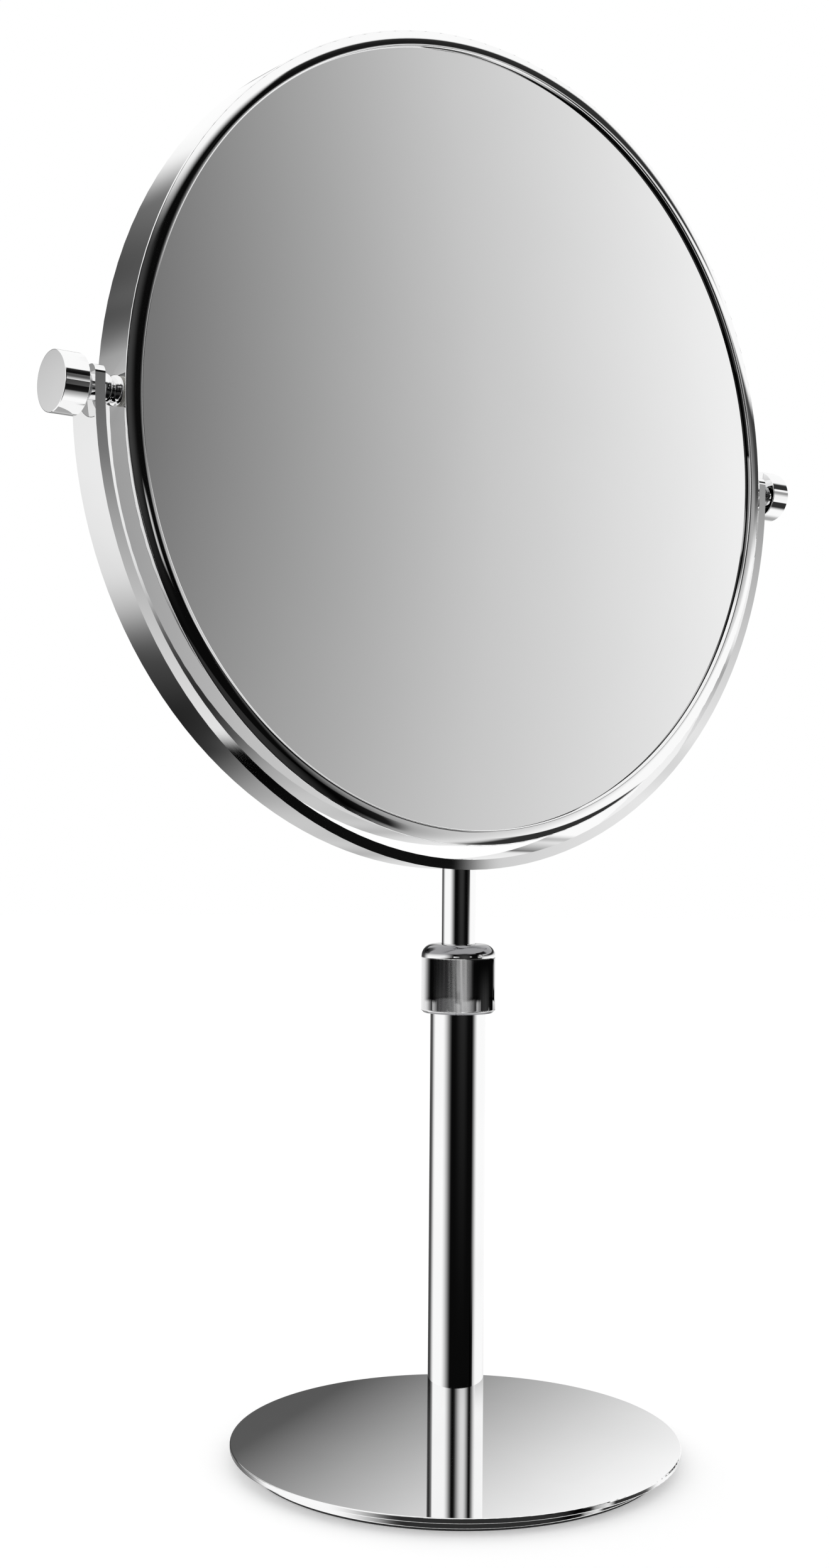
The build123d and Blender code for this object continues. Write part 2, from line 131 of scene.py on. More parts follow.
direction = tent_add("ShaderNodeTexCoord").outputs["Generated"]
to_right, to_back, to_top = tent_add("ShaderNodeSeparateXYZ", {0: direction}).outputs
to_left = tent_math("MULTIPLY", to_right, -1)
to_front = tent_math("MULTIPLY", to_back, -1)
degrees_each = 180 / pi
front_angle = tent_math("MULTIPLY", tent_math("ARCTAN2", to_right, to_front), degrees_each)
rear_angle = tent_math("MULTIPLY", tent_math("ARCTAN2", to_left, to_back), degrees_each)
height_angle = tent_math("MULTIPLY", tent_math("ARCSINE", to_top), degrees_each)
print("the studio is drawn by angle: 0 in front of the glass, positive to the right")

# %% [markdown]
# A card is a field of the tent with a left, a right, a lower and an upper side. Each side fades between two
# angles, because a hard edge would draw a hard line on the chrome. A dark card takes its share of the
# tent's light. A lighter thing in front of it is laid over with a level of its own.

# %% Helpers for cards on the tent


def tent_ramp(angle, start, end, low=0.0, high=1.0, smooth=True):
    """A ramp over an angle, in degrees."""
    limits = {"Value": angle, "From Min": start, "From Max": end, "To Min": low, "To Max": high}
    kind = "SMOOTHSTEP" if smooth else "LINEAR"
    return tent_add("ShaderNodeMapRange", limits, interpolation_type=kind).outputs["Result"]


def card_mask(angle, across, upward):
    """A soft-edged card: each side has the two angles between which it fades."""
    left = tent_ramp(angle, across[0], across[1])
    right = tent_ramp(angle, across[2], across[3], 1.0, 0.0)
    bottom = tent_ramp(height_angle, upward[0], upward[1])
    top = tent_ramp(height_angle, upward[2], upward[3], 1.0, 0.0)
    return tent_math("MULTIPLY", tent_math("MULTIPLY", left, right), tent_math("MULTIPLY", bottom, top))


def hang_card(brightness, mask, darkness):
    """The tent's brightness once a card has taken its share."""
    share = tent_math("SUBTRACT", 1.0, tent_math("MULTIPLY", mask, darkness))
    return tent_math("MULTIPLY", brightness, share)


def lay_over(brightness, mask, level):
    """The tent's brightness with something of its own level in front of it."""
    difference = tent_math("SUBTRACT", level, brightness)
    return tent_math("ADD", brightness, tent_math("MULTIPLY", mask, difference))


# %% Dark cards
brightness = 1.0
cards = (
    ("in front, low", front_angle, (-106, -62, 22, 52), (-82, -68, 2.3, 3.3), 0.997),
    ("in front, high", front_angle, (-88, -52, 22, 54), (0.8, 2.0, 28, 40), 0.997),
    ("behind, low", rear_angle, (-30, -4, 3, 38), (-38, -29, -22, -16), 0.93),
    ("behind, level", rear_angle, (-46, -18, 3, 38), (-22, -16, 15, 18), 0.93),
    ("behind, under the yoke", rear_angle, (-12, 0, 16, 34), (-36, -31, -24, -13), 0.85),
    ("behind, over the base", rear_angle, (-48, -30, 3, 38), (13, 15.5, 22, 26), 0.93),
    ("behind, high", rear_angle, (-16, 2, 3, 38), (20, 24, 27, 37), 0.93),
    ("behind, high on the right", rear_angle, (-10, 5, 24, 34), (8, 22, 36, 50), 0.8),
    ("right, level with the glass", front_angle, (45, 52, 125, 140), (4, 10, 14.5, 17.0), 0.95),
    ("right, high", front_angle, (22, 26, 62, 74), (20.5, 23, 36, 39.5), 0.97),
    ("right, low", front_angle, (42, 48, 70, 84), (-40, -32, -19, -17.5), 0.97),
    ("behind, right and low", front_angle, (96, 120, 146, 168), (-66, -52, -26, -12), 0.6),
    ("in front, right and low", front_angle, (18, 22, 31, 35), (-36, -30, -15, -12), 0.95),
    ("low strip in front", front_angle, (26, 29.5, 38.6, 40.2), (-4, -1.1, 2.3, 2.7), 0.99),
)
for card_name, angle, across, upward, darkness in cards:
    brightness = hang_card(brightness, card_mask(angle, across, upward), darkness)
    print("card", card_name, across, upward)

# %% [markdown]
# Over the dark cards hang lighter things. A bright strip lies along the horizon on the right and fades
# upwards. A graduated card behind the object gives the flat top of the base its fade. It hangs aslant, so
# height counts in its angle. A window in the front card gives the tube that the base mirrors its light
# middle. In a studio a screen would keep it off the rest, and here only light that has been mirrored twice
# sees it, on the base and on the tube.

# %% Windows and graduated cards
horizon = tent_ramp(height_angle, 3.0, 11.0, 0.8, 0.22, smooth=False)
base_slant = 1.85
aslant = tent_math("SUBTRACT", front_angle, tent_math("MULTIPLY", height_angle, base_slant))
base_fade = tent_ramp(aslant, 101.0, 114.6, 0.98, 0.1, smooth=False)
lights = (
    ("faint window", (-52, -20, -16, 8), (-16, 10, 30, 45), 0.05),
    ("glow from the floor", (-80, -60, 10, 25), (-45, -30, -19, -17.5), 0.028),
    ("horizon on the right", (22, 27.5, 60, 74), (2.2, 2.9, 9, 15), horizon),
    ("graduated card for the base", (125, 131, 149, 153), (14.5, 15.5, 21, 24), base_fade),
)
for light_name, across, upward, level in lights:
    brightness = lay_over(brightness, card_mask(front_angle, across, upward), level)
    print("light", light_name, across, upward)

# %% Light of the studio
rays = tent_add("ShaderNodeLightPath").outputs
# Light from the tent counts one step for the tent itself and one for each mirror on its way.
over_one_mirror, window_level = 2.5, 0.74
mirrored_twice = tent_math("GREATER_THAN", rays["Ray Depth"], over_one_mirror)
window = card_mask(front_angle, (-45, -13, -7, 20), (12.5, 17.0, 20.5, 22))
brightness = lay_over(brightness, tent_math("MULTIPLY", window, mirrored_twice), window_level)
plain_light = tent_add("ShaderNodeBackground", {"Color": (1, 1, 1, 1)}).outputs[0]
card_light = tent_add("ShaderNodeBackground", {"Color": brightness}).outputs[0]
seen_in_metal = tent_math("MAXIMUM", rays["Is Glossy Ray"], rays["Is Transmission Ray"])
light = tent_add("ShaderNodeMixShader", {"Fac": seen_in_metal, 1: plain_light, 2: card_light}).outputs[0]
tent_add("ShaderNodeOutputWorld", {"Surface": light})
print("tent with", len(cards), "cards and", len(lights), "lights,", len(world.node_tree.nodes), "nodes")

# %% [markdown]
# ## The card for the glass
# The hollow glass gathers its view: all of it sees one small part of the studio, to the right of the
# camera. A real graduated card hangs there, from white to grey, and gives the glass its even fade. A card
# on the tent itself would not do, because it has no distance. The hollow glass bends the rays so that its
# upper and lower half would see the same height of the tent, and the fade would lean. At less than two
# metres the two halves see different heights of the card, and turning the card in its own plane sets the
# fade upright. The glass turns left and right round, so the grey end is on the right. Only single
# reflections see the card, and its soft edges leave no outline when the mirror is moved.

# %% A helper that hangs a real card


def hang_plane(name, centre, bearing, turn, width, height):
    """A plane with its sides at given distances from its centre, which only reflections see."""
    bpy.ops.mesh.primitive_plane_add(size=2.0, location=centre)
    card = bpy.context.object
    card.name = name
    for vertex in card.data.vertices:
        vertex.co = (width[vertex.co.x > 0], height[vertex.co.y > 0], 0)
    card.rotation_euler = (pi / 2, 0, bearing)
    card.rotation_euler.rotate_axis("Z", turn)
    card.visible_camera = card.visible_diffuse = card.visible_shadow = card.visible_transmission = False
    print(name, "hangs at", [round(c, 3) for c in centre])
    return card


# %% A helper that paints a real card
under_two_mirrors = 1.5


def paint_card(card, width, height, soft_edge, tones):
    """Three tones across the card and soft edges. Light that has met two mirrors passes through it."""
    paint = bpy.data.materials.new(card.name)
    paint.use_nodes = True
    paint.node_tree.nodes.clear()
    add = adder(paint.node_tree)
    place = add("ShaderNodeSeparateXYZ", {0: add("ShaderNodeTexCoord").outputs["Object"]}).outputs

    def ramp(side, low, high, kind="SMOOTHSTEP"):
        limits = {"Value": place[side], "From Min": low, "From Max": high}
        return add("ShaderNodeMapRange", limits, interpolation_type=kind).outputs[0]

    first_place, last_place = tones[0][0], tones[-1][0]
    fade = add("ShaderNodeValToRGB", {"Fac": ramp("X", first_place, last_place, "LINEAR")})
    fade.color_ramp.elements.new(0.5)
    for stop, (along, tone) in zip(fade.color_ramp.elements, tones):
        stop.position = (along - first_place) / (last_place - first_place)
        stop.color = (tone, tone, tone, 1)
    met = add("ShaderNodeLightPath").outputs["Ray Depth"]
    share = add("ShaderNodeMath", {0: met, 1: under_two_mirrors}, operation="LESS_THAN").outputs[0]
    for side, (low, high) in (("X", width), ("Y", height)):
        for edge in (ramp(side, low, low + soft_edge), ramp(side, high, high - soft_edge)):
            share = add("ShaderNodeMath", {0: share, 1: edge}, operation="MULTIPLY").outputs[0]
    clear = add("ShaderNodeBsdfTransparent").outputs[0]
    shine = add("ShaderNodeEmission", {"Color": fade.outputs["Color"]}).outputs[0]
    mixed = add("ShaderNodeMixShader", {"Fac": share, 1: clear, 2: shine}).outputs[0]
    add("ShaderNodeOutputMaterial", {"Surface": mixed})
    card.data.materials.append(paint)


# %% Graduated card for the glass
card_centre = (1058.2 * mm, -1330.6 * mm, 606.7 * mm)
card_bearing, card_turn = radians(39), radians(34)
card_width, card_height, card_edge = (-210 * mm, 270 * mm), (-210 * mm, 300 * mm), 60 * mm
card_tones = ((-119 * mm, 0.91), (-2 * mm, 0.6), (115 * mm, 0.19))
glass_card = hang_plane("graduated_card", card_centre, card_bearing, card_turn, card_width, card_height)
paint_card(glass_card, card_width, card_height, card_edge, card_tones)

# %% [markdown]
# Seen from the front or from the right, the glass would look into the dark cards alone and turn black. Two
# small cards stand where it gathers those views, at 0.7 metres and at one metre. They are so small and so
# near that the chrome round the glass shows hardly a line of them.

# %% Small cards
small_cards = (
    ("small_card_in_front", radians(0), 700 * mm, 56 * mm, (-62 * mm, 62 * mm), 38 * mm),
    ("small_card_on_the_left", radians(-45), 1000 * mm, 170 * mm, (-85 * mm, 110 * mm), 30 * mm),
)
small_card_height, light_tone, middle_tone, grey_tone = 250 * mm, 0.85, 0.5, 0.2
for name, bearing, distance, half, upward, soft_edge in small_cards:
    centre = (distance * sin(bearing), -distance * cos(bearing), small_card_height)
    small_card = hang_plane(name, centre, bearing, 0.0, (-half, half), upward)
    tones = ((-half, light_tone), (0, middle_tone), (half, grey_tone))
    paint_card(small_card, (-half, half), upward, soft_edge, tones)

# %% [markdown]
# ## The floor
# A plain pale floor carries the object and takes its soft shadow. A little light of its own, for the camera
# alone, lifts it to the white of the tent. Reflections leave it out, so that the chrome shows the tent.

# %% Floor
floor_radius, floor_lift = 3.0, 0.25
bpy.ops.mesh.primitive_circle_add(vertices=96, radius=floor_radius, fill_type="NGON", location=(0, 0, 0))
floor = bpy.context.object
floor.name = "floor"
floor.visible_glossy = False
floor_paint = bpy.data.materials.new("pale_floor")
floor_paint.use_nodes = True
floor_paint.node_tree.nodes.clear()
floor_add = adder(floor_paint.node_tree)
matt = floor_add("ShaderNodeBsdfDiffuse", {"Color": (0.8, 0.8, 0.8, 1)}).outputs[0]
to_camera = floor_add("ShaderNodeLightPath").outputs["Is Camera Ray"]
lift_share = floor_add("ShaderNodeMath", {0: to_camera, 1: floor_lift}, operation="MULTIPLY").outputs[0]
lift = floor_add("ShaderNodeEmission", {"Strength": lift_share}).outputs[0]
both = floor_add("ShaderNodeAddShader", {0: matt, 1: lift}).outputs[0]
floor_add("ShaderNodeOutputMaterial", {"Surface": both})
floor.data.materials.append(floor_paint)
print("floor laid")

# %% [markdown]
# ## Chrome
# The plating is a mirror, but a real one has a history: the tube was drawn, the base was spun, the knobs
# were turned, and each was polished along those lines. Under the shine stay hairlines that spread the
# light a little, and the hand leaves faint smears. Both go to the roughness, and the hairlines to a bump.

# %% Helpers for finishes
noise_low, noise_high = 0.3, 0.7


def new_finish(name):
    """A material with only its shader and its output, and a short way to add nodes."""
    finish = bpy.data.materials.new(name)
    finish.use_nodes = True
    tree = finish.node_tree
    return finish, tree, tree.nodes["Principled BSDF"], adder(tree)


def ramp_between(add, value, low, high):
    """Spread a noise value, mostly between 0.3 and 0.7, over a range of our own."""
    limits = {"Value": value, "From Min": noise_low, "From Max": noise_high, "To Min": low, "To Max": high}
    return add("ShaderNodeMapRange", limits).outputs["Result"]


def colour_between(add, value, dark, light):
    """Colours that follow a noise value from a dark one to a light one."""
    ramp = add("ShaderNodeValToRGB", {"Fac": value})
    for element, place, colour in zip(ramp.color_ramp.elements, (noise_low, noise_high), (dark, light)):
        element.position = place
        element.color = (*colour, 1)
    return ramp.outputs["Color"]


def polish_lines(add, place, centre, keep, rings, spacing):
    """Noise in rings round an axis, or in straight lines where keep nearly drops a direction."""
    back = tuple(-c * k for c, k in zip(centre, keep))
    turned = add("ShaderNodeMapping", {"Vector": place, "Location": back, "Scale": keep}).outputs[0]
    noise = {"Scale": 1 / spacing, "Detail": 2.0}
    if not rings:
        return add("ShaderNodeTexNoise", {"Vector": turned, **noise}).outputs[0]
    distance = add("ShaderNodeVectorMath", {0: turned}, operation="LENGTH").outputs["Value"]
    return add("ShaderNodeTexNoise", {"W": distance, **noise}, noise_dimensions="1D").outputs[0]


# %% Chrome, with lines that follow the way each piece was made
head_height = (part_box("mirror_rim")[0].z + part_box("mirror_rim")[1].z) / 2
post = (0, 0, 0)
head = (0, 0, head_height)
# Colour of the knurl's valleys: painted shade, with some dirt.
groove_shade_and_dirt = (0.3, 0.3, 0.31, 1)


def chrome(name, centre, keep, rings, spacing, groove=None):
    """Polished plating. A groove gives two distances from the post, between which painted shade and dirt
    darken it.
    """
    finish, tree, shader, add = new_finish(name)
    place = add("ShaderNodeTexCoord").outputs["Object"]
    lines = polish_lines(add, place, centre, keep, rings, spacing)
    wiped = {"Vector": place, "Scale": 28.0, "Detail": 4.0, "Distortion": 0.6}
    smear = add("ShaderNodeTexNoise", wiped).outputs[0]
    hair = ramp_between(add, lines, 0.0, 0.014)
    haze = ramp_between(add, smear, 0.004, 0.022)
    rough = add("ShaderNodeMath", {0: hair, 1: haze}, operation="ADD").outputs[0]
    tint = colour_between(add, smear, (0.93, 0.93, 0.932), (0.965, 0.965, 0.965))
    # Painted shade, with some dirt: the colour is dark nearer the axis than the ridges. That covers the
    # knurl's valleys and the collar's top, bottom and bore.
    if groove:
        flat = add("ShaderNodeVectorMath", {0: place, 1: (1, 1, 0)}, operation="MULTIPLY").outputs[0]
        distance = add("ShaderNodeVectorMath", {0: flat}, operation="LENGTH").outputs["Value"]
        limits = {"Value": distance, "From Min": groove[0], "From Max": groove[1]}
        depth = add("ShaderNodeMapRange", limits).outputs[0]
        tint = add("ShaderNodeMix", {"Factor": depth, 6: groove_shade_and_dirt, 7: tint}, data_type="RGBA").outputs[2]
    bump = add("ShaderNodeBump", {"Height": lines, "Strength": 0.05, "Distance": 0.002 * mm})
    shader.inputs["Metallic"].default_value = 1.0
    tree.links.new(tint, shader.inputs["Base Color"])
    tree.links.new(rough, shader.inputs["Roughness"])
    tree.links.new(bump.outputs[0], shader.inputs["Normal"])
    return finish


spun_chrome = chrome("spun_chrome", post, (1, 1, 0), True, 0.35 * mm)
drawn_chrome = chrome("drawn_chrome", post, (1, 1, 0.01), False, 0.3 * mm)
rolled_chrome = chrome("rolled_chrome", head, (1, 0, 1), True, 0.5 * mm)
ring_chrome = chrome("ring_chrome", head, (0.01, 1, 0.01), False, 0.3 * mm)
turned_chrome = chrome("turned_chrome", head, (0, 1, 1), True, 0.2 * mm)
print("chrome in five lines of polish; pivots at", round(head_height / mm, 2), "mm")

# %% [markdown]
# ## Steel and brass
# The screws, nuts, washers and the ring are zinc-plated steel, the pieces of the clamp are brass. None is
# polished: the tool leaves fine rings round the axis, and the plating or the air leaves pale and dark
# clouds. So the rings go to the roughness and a bump, and the clouds to the colour.

# %% Machined metals


def machined(name, dark, light, centre, keep, spacing, rough_range):
    """Bare or plated metal with the tool's rings round one axis."""
    finish, tree, shader, add = new_finish(name)
    place = add("ShaderNodeTexCoord").outputs["Object"]
    rings = polish_lines(add, place, centre, keep, True, spacing)
    stained = {"Vector": place, "Scale": 240.0, "Detail": 5.0, "Roughness": 0.6}
    clouds = add("ShaderNodeTexNoise", stained).outputs[0]
    bump = add("ShaderNodeBump", {"Height": rings, "Strength": 0.3, "Distance": 0.01 * mm})
    shader.inputs["Metallic"].default_value = 1.0
    tree.links.new(colour_between(add, clouds, dark, light), shader.inputs["Base Color"])
    tree.links.new(ramp_between(add, rings, *rough_range), shader.inputs["Roughness"])
    tree.links.new(bump.outputs[0], shader.inputs["Normal"])
    return finish


zinc = ((0.56, 0.57, 0.59), (0.68, 0.68, 0.67))
yellow = ((0.66, 0.50, 0.24), (0.78, 0.64, 0.37))
post_steel = machined("post_steel", *zinc, post, (1, 1, 0), 0.15 * mm, (0.22, 0.42))
pivot_steel = machined("pivot_steel", *zinc, head, (0, 1, 1), 0.15 * mm, (0.22, 0.42))
clamp_brass = machined("clamp_brass", *yellow, post, (1, 1, 0), 0.2 * mm, (0.18, 0.36))
print("machined metals:", post_steel.name, pivot_steel.name, clamp_brass.name)

# %% [markdown]
# ## Nylon, rubber and foam
# The bushes and the rod's guide are natural nylon, a milky plastic with faint flow clouds. The pad is a
# matt rubber sheet with a fine grain. The ring behind the glass is foam, whose cut face is all small cells.
# Each has one pattern at its real scale, shared by its colour, its roughness and its bump.

# %% Soft finishes


def moulded(name, dark, light, grain, rough_range, dent, cells=False):
    """A matt material with a grain, or with the cells of a cut foam."""
    finish, tree, shader, add = new_finish(name)
    place = add("ShaderNodeTexCoord").outputs["Object"]
    cloud = add("ShaderNodeTexNoise", {"Vector": place, "Scale": 130.0, "Detail": 3.0}).outputs[0]
    if cells:
        fine = add("ShaderNodeTexVoronoi", {"Vector": place, "Scale": 1 / grain}).outputs["Distance"]
    else:
        fine = add("ShaderNodeTexNoise", {"Vector": place, "Scale": 1 / grain, "Detail": 4.0}).outputs[0]
    pattern = add("ShaderNodeMath", {0: cloud, 1: fine}, operation="ADD").outputs[0]
    half = add("ShaderNodeMath", {0: pattern, 1: 0.5}, operation="MULTIPLY").outputs[0]
    bump = add("ShaderNodeBump", {"Height": fine, "Strength": 0.6, "Distance": dent})
    tree.links.new(colour_between(add, half, dark, light), shader.inputs["Base Color"])
    tree.links.new(ramp_between(add, fine, *rough_range), shader.inputs["Roughness"])
    tree.links.new(bump.outputs[0], shader.inputs["Normal"])
    return finish


milk = ((0.74, 0.73, 0.68), (0.86, 0.85, 0.81))
soot = ((0.018, 0.018, 0.019), (0.045, 0.045, 0.046))
slate = ((0.05, 0.05, 0.052), (0.15, 0.15, 0.155))
milky_nylon = moulded("milky_nylon", *milk, 0.3 * mm, (0.38, 0.55), 0.01 * mm)
black_rubber = moulded("black_rubber", *soot, 0.25 * mm, (0.7, 0.92), 0.03 * mm)
grey_foam = moulded("grey_foam", *slate, 0.9 * mm, (0.85, 1.0), 0.2 * mm, cells=True)
print("soft finishes:", milky_nylon.name, black_rubber.name, grey_foam.name)

# %% [markdown]
# ## Silvered glass
# A mirror glass is silvered on its back, so light passes the glass twice. Its edge is never seen here, so
# it can be one surface: a bright metal for the silver under a clear coat for the glass. Wiping leaves a
# haze that is much weaker than on the chrome.

# %% Silvered glass
silvered_glass, glass_tree, glass_shader, glass_add = new_finish("silvered_glass")
glass_place = glass_add("ShaderNodeTexCoord").outputs["Object"]
wiped_glass = {"Vector": glass_place, "Scale": 16.0, "Detail": 5.0, "Distortion": 1.2}
wipe = glass_add("ShaderNodeTexNoise", wiped_glass).outputs[0]
silver = colour_between(glass_add, wipe, (0.935, 0.935, 0.935), (0.95, 0.95, 0.95))
glass_shader.inputs["Metallic"].default_value = 1.0
glass_shader.inputs["Coat Weight"].default_value = 1.0
glass_shader.inputs["Coat Roughness"].default_value = 0.0
glass_shader.inputs["Coat IOR"].default_value = 1.52
glass_tree.links.new(silver, glass_shader.inputs["Base Color"])
glass_tree.links.new(ramp_between(glass_add, wipe, 0.0, 0.012), glass_shader.inputs["Roughness"])
glass_bump = glass_add("ShaderNodeBump", {"Height": wipe, "Strength": 0.02, "Distance": 0.001 * mm})
glass_tree.links.new(glass_bump.outputs[0], glass_shader.inputs["Normal"])
print("finish:", silvered_glass.name)

# %% [markdown]
# ## Round pieces
# Most pieces here are round: turned on a lathe, spun over a form or pressed. The same works in a mesh. We
# draw half of the section with one vertex, extruded from point to point, and spin it round the axis.
# A cylinder with bevels would do for one step, but a section shows all steps at once, as on a drawing.

# %% Helpers for round pieces


def draw_section(name, points):
    """One vertex, extruded from point to point, left open in edit mode."""
    bpy.ops.object.select_all(action="DESELECT")
    bpy.ops.mesh.primitive_plane_add(size=mm, location=(0, 0, 0))
    piece = bpy.context.object
    piece.name = name
    piece.data.name = name
    bpy.ops.object.mode_set(mode="EDIT")
    bpy.ops.mesh.select_mode(type="VERT")
    bpy.ops.mesh.select_all(action="SELECT")
    bpy.ops.mesh.merge(type="CENTER")
    bpy.ops.transform.translate(value=points[0])
    for here, there in zip(points, points[1:]):
        step = [b - a for a, b in zip(here, there)]
        bpy.ops.mesh.extrude_vertices_move(TRANSFORM_OT_translate={"value": step})
    return piece


def spin_section(centre, axis, steps):
    """Carry the drawn section once round its axis and close it."""
    bpy.ops.mesh.select_all(action="SELECT")
    bpy.ops.mesh.spin(steps=steps, angle=2 * pi, center=centre, axis=axis)
    bpy.ops.mesh.select_all(action="SELECT")
    bpy.ops.mesh.remove_doubles(threshold=0.002 * mm)
    bpy.ops.mesh.normals_make_consistent(inside=False)
    bpy.ops.object.mode_set(mode="OBJECT")


def fit_piece(piece, node, body, finish):
    """Shade a finished piece, dress it, and let it stand for its solid."""
    bpy.ops.object.shade_smooth_by_angle(angle=radians(28))
    piece.data.materials.clear()
    piece.data.materials.append(finish)
    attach(piece, body)
    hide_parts(node)
    print(piece.name, "with", len(piece.data.polygons), "faces stands for", node)


def arc_points(centre, radius, start, end, steps):
    """Points of an arc, in degrees."""
    turns = [radians(start + (end - start) * i / steps) for i in range(steps + 1)]
    return [(centre[0] + radius * cos(t), centre[1] + radius * sin(t)) for t in turns]


# %% [markdown]
# ## The knurled collar
# The collar screws down on the tube and squeezes the collet round the rod. Its side is knurled with fine
# straight ridges, so that wet fingers can turn it. Two walls of a ridge stand square to each other, and
# light that comes in goes back the way it came, so the knurl looks dark from where the dark card hangs.
# A bump can't do that. We spin the section in 360 columns and pull every second one inwards.

# %% Section of the collar
collar_low, collar_high = (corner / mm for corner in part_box("clamp_collar"))
tube_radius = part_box("outer_tube")[1].x / mm
rod_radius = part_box("slide_rod")[1].y / mm
collar_radius, collar_bottom, collar_top = collar_high.x, collar_low.z, collar_high.z
shoulder, chamfer, crown = 3.2, 0.6, 2.08
land_below, land_above, knurl_runout = 0.05, 0.2, 0.3
knurl_start, knurl_end = collar_bottom + chamfer + land_below, collar_top - shoulder - land_above
running_gap = 0.15
skirt_radius, bore_radius = tube_radius + running_gap, rod_radius + running_gap
thread_radius, chamber_radius, cone_slope = 6.25, 5.9, 2.5
thread_start, thread_end = collar_bottom + 4.9, collar_bottom + 11.7
cone_end = collar_top - crown
cone_start = cone_end - (chamber_radius - bore_radius) * cone_slope
section = [
    (skirt_radius, collar_bottom),
    (collar_radius - chamfer, collar_bottom),
    (collar_radius, collar_bottom + chamfer),
    (collar_radius, knurl_start),
    (collar_radius, knurl_start + knurl_runout),
    (collar_radius, knurl_end - knurl_runout),
    (collar_radius, knurl_end),
]
section += arc_points((collar_radius - shoulder, collar_top - shoulder), shoulder, 0, 90, steps=12)
section += [
    (bore_radius, collar_top),
    (bore_radius, cone_end),
    (chamber_radius, cone_start),
    (chamber_radius, thread_end),
    (thread_radius, thread_end),
    (thread_radius, thread_start),
    (skirt_radius, thread_start),
    (skirt_radius, collar_bottom),
]
collar = draw_section("knurled_collar", [(r * mm, 0, z * mm) for r, z in section])
columns = 360
spin_section((0, 0, 0), (0, 0, 1), columns)
print("collar drawn with", len(section), "points")

# %% Ridges of the collar
knurl_depth = collar_radius * 2 * pi / columns
skin, margin = 0.01, 0.1
bpy.ops.object.mode_set(mode="EDIT")
bpy.ops.mesh.select_all(action="DESELECT")
sheet = bmesh.from_edit_mesh(collar.data)
for vertex in sheet.verts:
    on_side = vertex.co.xy.length > (collar_radius - skin) * mm
    in_knurl = knurl_start + margin < vertex.co.z / mm < knurl_end - margin
    column = round(degrees(atan2(vertex.co.y, vertex.co.x)))
    vertex.select = on_side and in_knurl and column % 2 == 1
sheet.select_flush_mode()
bmesh.update_edit_mesh(collar.data)
inwards = 1 - knurl_depth / collar_radius
bpy.ops.transform.resize(value=(inwards, inwards, 1), center_override=(0, 0, 0))
bpy.ops.object.mode_set(mode="OBJECT")
# The knurl's valleys, and every face nearer the axis, get painted shade and dirt in their colour.
valley_to_ridge = ((collar_radius - knurl_depth) * mm, collar_radius * mm)
knurled_chrome = chrome("knurled_chrome", post, (1, 1, 0.01), False, 0.3 * mm, valley_to_ridge)
fit_piece(collar, "clamp_collar", "collar", knurled_chrome)

# %% [markdown]
# ## The hollow glass
# A magnifying glass for the face is hollow: part of a large ball, here with a radius of 750 mm. It is bent
# hot over a form, so both faces follow the curve. Reflections show every flaw of such a face. A sphere
# primitive has most of its faces elsewhere, so we draw the flat curve with many points and spin that.

# %% Section of the glass
glass_low, glass_high = (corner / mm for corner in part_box("mirror_glass"))
glass_radius, glass_edge = glass_high.x, glass_low.y
glass_curve, glass_thickness, ground_edge = 750.0, 2.2, 0.3


def ball_depth(radius, distance):
    """Depth of a ball's face at a distance from its axis."""
    return radius - sqrt(radius**2 - distance**2)


glass_middle = glass_edge + ball_depth(glass_curve, glass_radius)
face_steps = 40
face = [(glass_radius - ground_edge) * i / face_steps for i in range(face_steps + 1)]
section = [(r, glass_middle - ball_depth(glass_curve, r)) for r in face]
section += [(glass_radius, glass_edge + ground_edge)]
section += [(glass_radius, glass_edge + glass_thickness - ground_edge)]
section += [(r, glass_middle + glass_thickness - ball_depth(glass_curve, r)) for r in reversed(face)]
glass = draw_section("hollow_glass", [(r * mm, y * mm, head_height) for r, y in section])
spin_section(head, (0, 1, 0), steps=192)
fit_piece(glass, "mirror_glass", "mirror", silvered_glass)

# %% [markdown]
# ## The bezel
# The bezel is a thin rolled ring: a shallow bead that frames the glass and covers the rim's front, and a
# skirt that snaps into the rim. Its bead is only four millimetres wide, yet it mirrors the whole room in a
# few bright and dark lines, so it needs many points over its roundness and many steps round the ring.
# The crest of the bead lies near the glass: a tight curve falls to the glass, a flat one to the rim.

# %% Section of the bezel
bezel_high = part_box("front_bezel")[1] / mm
bead_outside, skirt_end = bezel_high.x, bezel_high.y
bead_seat, skirt_wall, press_gap = skirt_end - 3.5, 0.55, 0.02
bead_inside, skirt_outside, crest_radius, bead_crown = 100.0, 103.0, 100.45, 0.75
bead_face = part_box("mirror_rim")[0].y / mm - press_gap
bead_crest = bead_face + press_gap - bead_crown
run, drop = bead_outside - crest_radius, bead_face - bead_crest
inner_curve, outer_curve = crest_radius - bead_inside, (run**2 + drop**2) / (2 * drop)
outer_turn, bead_steps = degrees(asin(run / outer_curve)), 16
inner_middle, outer_middle = bead_crest + inner_curve, bead_crest + outer_curve
section = [(bead_inside, bead_seat)]
section += arc_points((crest_radius, inner_middle), inner_curve, 180, 270, bead_steps)
section += arc_points((crest_radius, outer_middle), outer_curve, 270, 270 + outer_turn, bead_steps)[1:]
section += [
    (skirt_outside, bead_face),
    (skirt_outside, skirt_end),
    (skirt_outside - skirt_wall, skirt_end),
    (skirt_outside - skirt_wall, bead_seat),
    section[0],
]
bezel = draw_section("bezel", [(r * mm, y * mm, head_height) for r, y in section])
spin_section(head, (0, 1, 0), steps=288)
fit_piece(bezel, "front_bezel", "mirror", ring_chrome)

# %% [markdown]
# ## The rear cover
# The back is closed by a shallow pressed dome with a flat border inside the rim's lip. It is sheet metal
# of an even thickness, so one line is drawn and spun, and the Solidify modifier gives it its wall.

